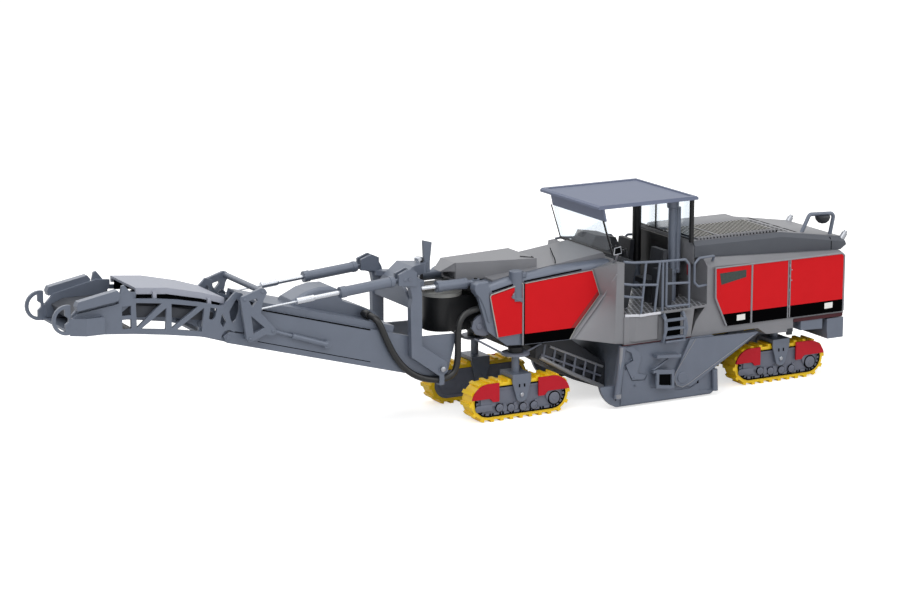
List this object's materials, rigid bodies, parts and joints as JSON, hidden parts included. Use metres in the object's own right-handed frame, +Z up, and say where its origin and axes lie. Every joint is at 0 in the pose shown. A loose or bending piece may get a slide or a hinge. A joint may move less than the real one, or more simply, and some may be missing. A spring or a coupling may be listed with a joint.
{
  "type": "scale model of a cold planer",
  "caption": "Display model of a tracked cold planer for road surfaces: covered platform, milling drum and a folding, slewing front conveyor.",
  "frame": {"origin": "middle of the model's box at floor level, where the tracks stand", "axes": "+X along the machine towards the tip of the front conveyor, +Y to its left side, +Z up"},
  "size_m": [0.3364, 0.0602, 0.0794],
  "materials": {
    "track_yellow": "moulded yellow, satin",
    "track_grey": "moulded slate grey",
    "guard_red": "moulded crimson",
    "leg_grey": "satin slate grey",
    "body_grey": "satin slate grey",
    "deck_grey": "satin warm grey",
    "panel_red": "glossy red",
    "band_black": "satin black",
    "frame_black": "black",
    "mesh_silver": "silver over a diamond mesh",
    "rail_grey": "satin slate grey",
    "console_grey": "charcoal",
    "roof_grey": "satin slate grey",
    "window": "clear",
    "hood_grey": "satin slate grey",
    "pipe_silver": "brushed",
    "housing_grey": "satin slate grey",
    "drum_dark": "dark",
    "boom_grey": "satin slate grey",
    "cover_pale": "pale lavender grey",
    "belt_grey": "matt grey",
    "rod_chrome": "polished",
    "ring_grey": "light grey",
    "hose_black": "matt black"
  },
  "bodies": {
    "chassis": {"nose_cowl": "body_grey", "main_frame": "frame_black", "front_duct": "deck_grey", "column_sleeves": "body_grey", "side_panels": "panel_red", "lower_bands": "band_black", "mid_body": "deck_grey", "rear_body": "deck_grey", "engine_hood": "hood_grey", "hood_grilles": "hood_grey", "exhausts": "pipe_silver", "grab_loop": "rail_grey", "platform_deck": "mesh_silver", "railings": "rail_grey", "ladders": "rail_grey", "consoles": "console_grey", "seats": "console_grey", "canopy_posts": "roof_grey", "canopy_roof": "roof_grey", "canopy_glass": "window", "drum_housing": "housing_grey", "side_plates": "housing_grey", "support_arms": "housing_grey", "rear_beam": "housing_grey", "loading_conveyor": "housing_grey", "steering_links": "frame_black", "turret": "frame_black", "turret_ring": "ring_grey", "hose_rear": "hose_black"},
    "track_front_left": {"track_leg_front_left": "leg_grey", "track_frame_front_left": "track_grey", "track_belt_front_left": "track_yellow", "track_guard_front_left": "guard_red"},
    "track_front_right": {"track_leg_front_right": "leg_grey", "track_frame_front_right": "track_grey", "track_belt_front_right": "track_yellow", "track_guard_front_right": "guard_red"},
    "track_rear_left": {"track_leg_rear_left": "leg_grey", "track_frame_rear_left": "track_grey", "track_belt_rear_left": "track_yellow", "track_guard_rear_left": "guard_red"},
    "track_rear_right": {"track_leg_rear_right": "leg_grey", "track_frame_rear_right": "track_grey", "track_belt_rear_right": "track_yellow", "track_guard_rear_right": "guard_red"},
    "milling_drum": {"milling_drum": "drum_dark"},
    "slew_frame": {"slew_frame": "boom_grey", "hose_front": "hose_black"},
    "slew_barrel_left": {"slew_barrel_left": "boom_grey"},
    "slew_barrel_right": {"slew_barrel_right": "boom_grey"},
    "slew_rod_left": {"slew_rod_left": "rod_chrome"},
    "slew_rod_right": {"slew_rod_right": "rod_chrome"},
    "lift_barrels": {"lift_barrels": "boom_grey"},
    "lift_rods": {"lift_rods": "rod_chrome"},
    "rear_boom": {"rear_boom": "boom_grey", "knee_plates": "boom_grey", "fold_cylinders": "boom_grey"},
    "front_boom": {"front_boom": "boom_grey", "front_cover": "cover_pale", "front_belt": "belt_grey"}
  },
  "joints": [
    {"name": "steer_front_left", "type": "hinge", "parent": "chassis", "child": "track_front_left", "pos_m": [-0.0165, 0.016, 0.02], "axis": [0, 0, 1], "range_deg": [-20, 20]},
    {"name": "steer_front_right", "type": "hinge", "parent": "chassis", "child": "track_front_right", "pos_m": [-0.0165, -0.016, 0.02], "axis": [0, 0, 1], "range_deg": [-20, 20]},
    {"name": "steer_rear_left", "type": "hinge", "parent": "chassis", "child": "track_rear_left", "pos_m": [-0.1357, 0.016, 0.02], "axis": [0, 0, 1], "range_deg": [-15, 15]},
    {"name": "steer_rear_right", "type": "hinge", "parent": "chassis", "child": "track_rear_right", "pos_m": [-0.1357, -0.016, 0.02], "axis": [0, 0, 1], "range_deg": [-15, 15]},
    {"name": "drum_spin", "type": "hinge", "parent": "chassis", "child": "milling_drum", "pos_m": [-0.0775, 0, 0.0116], "axis": [0, 1, 0], "continuous": true},
    {"name": "slew", "type": "hinge", "parent": "chassis", "child": "slew_frame", "pos_m": [0.0157, 0, 0.04], "axis": [0, 0, 1], "range_deg": [-25, 25], "deforming": ["hose_rear"]},
    {"name": "slew_barrel_left_turn", "type": "hinge", "parent": "chassis", "child": "slew_barrel_left", "pos_m": [-0.0024, 0.01, 0.0526], "axis": [0, 0, 1], "range_deg": [-9, 9]},
    {"name": "slew_rod_left_slide", "type": "slide", "parent": "slew_barrel_left", "child": "slew_rod_left", "axis": [1, 0, 0], "range_m": [-0.0045, 0.0045]},
    {"name": "slew_barrel_right_turn", "type": "hinge", "parent": "chassis", "child": "slew_barrel_right", "pos_m": [-0.0024, -0.01, 0.0526], "axis": [0, 0, 1], "range_deg": [-9, 9]},
    {"name": "slew_rod_right_slide", "type": "slide", "parent": "slew_barrel_right", "child": "slew_rod_right", "axis": [1, 0, 0], "range_m": [-0.0045, 0.0045]},
    {"name": "lift", "type": "hinge", "parent": "slew_frame", "child": "rear_boom", "pos_m": [0.0157, 0, 0.0226], "axis": [0, -1, 0], "range_deg": [-6, 8], "deforming": ["hose_front"]},
    {"name": "lift_barrels_turn", "type": "hinge", "parent": "slew_frame", "child": "lift_barrels", "pos_m": [0.0296, 0, 0.0583], "axis": [0, -1, 0], "range_deg": [-7.5, 10]},
    {"name": "lift_rods_slide", "type": "slide", "parent": "lift_barrels", "child": "lift_rods", "axis": [0.9966, 0, -0.0826], "range_m": [-0.0052, 0.004]},
    {"name": "fold", "type": "hinge", "parent": "rear_boom", "child": "front_boom", "pos_m": [0.10154, 0, 0.04386], "axis": [0, 1, 0], "range_deg": [0, 60]}
  ],
  "couplings": [
    {"joint": "slew_barrel_left_turn", "follows": "slew", "ratio": 0.263},
    {"joint": "slew_rod_left_slide", "follows": "slew", "m_per_rad": -0.0099},
    {"joint": "slew_barrel_right_turn", "follows": "slew", "ratio": 0.263},
    {"joint": "slew_rod_right_slide", "follows": "slew", "m_per_rad": 0.0099},
    {"joint": "lift_barrels_turn", "follows": "lift", "ratio": 1.195},
    {"joint": "lift_rods_slide", "follows": "lift", "m_per_rad": -0.0365}
  ]
}
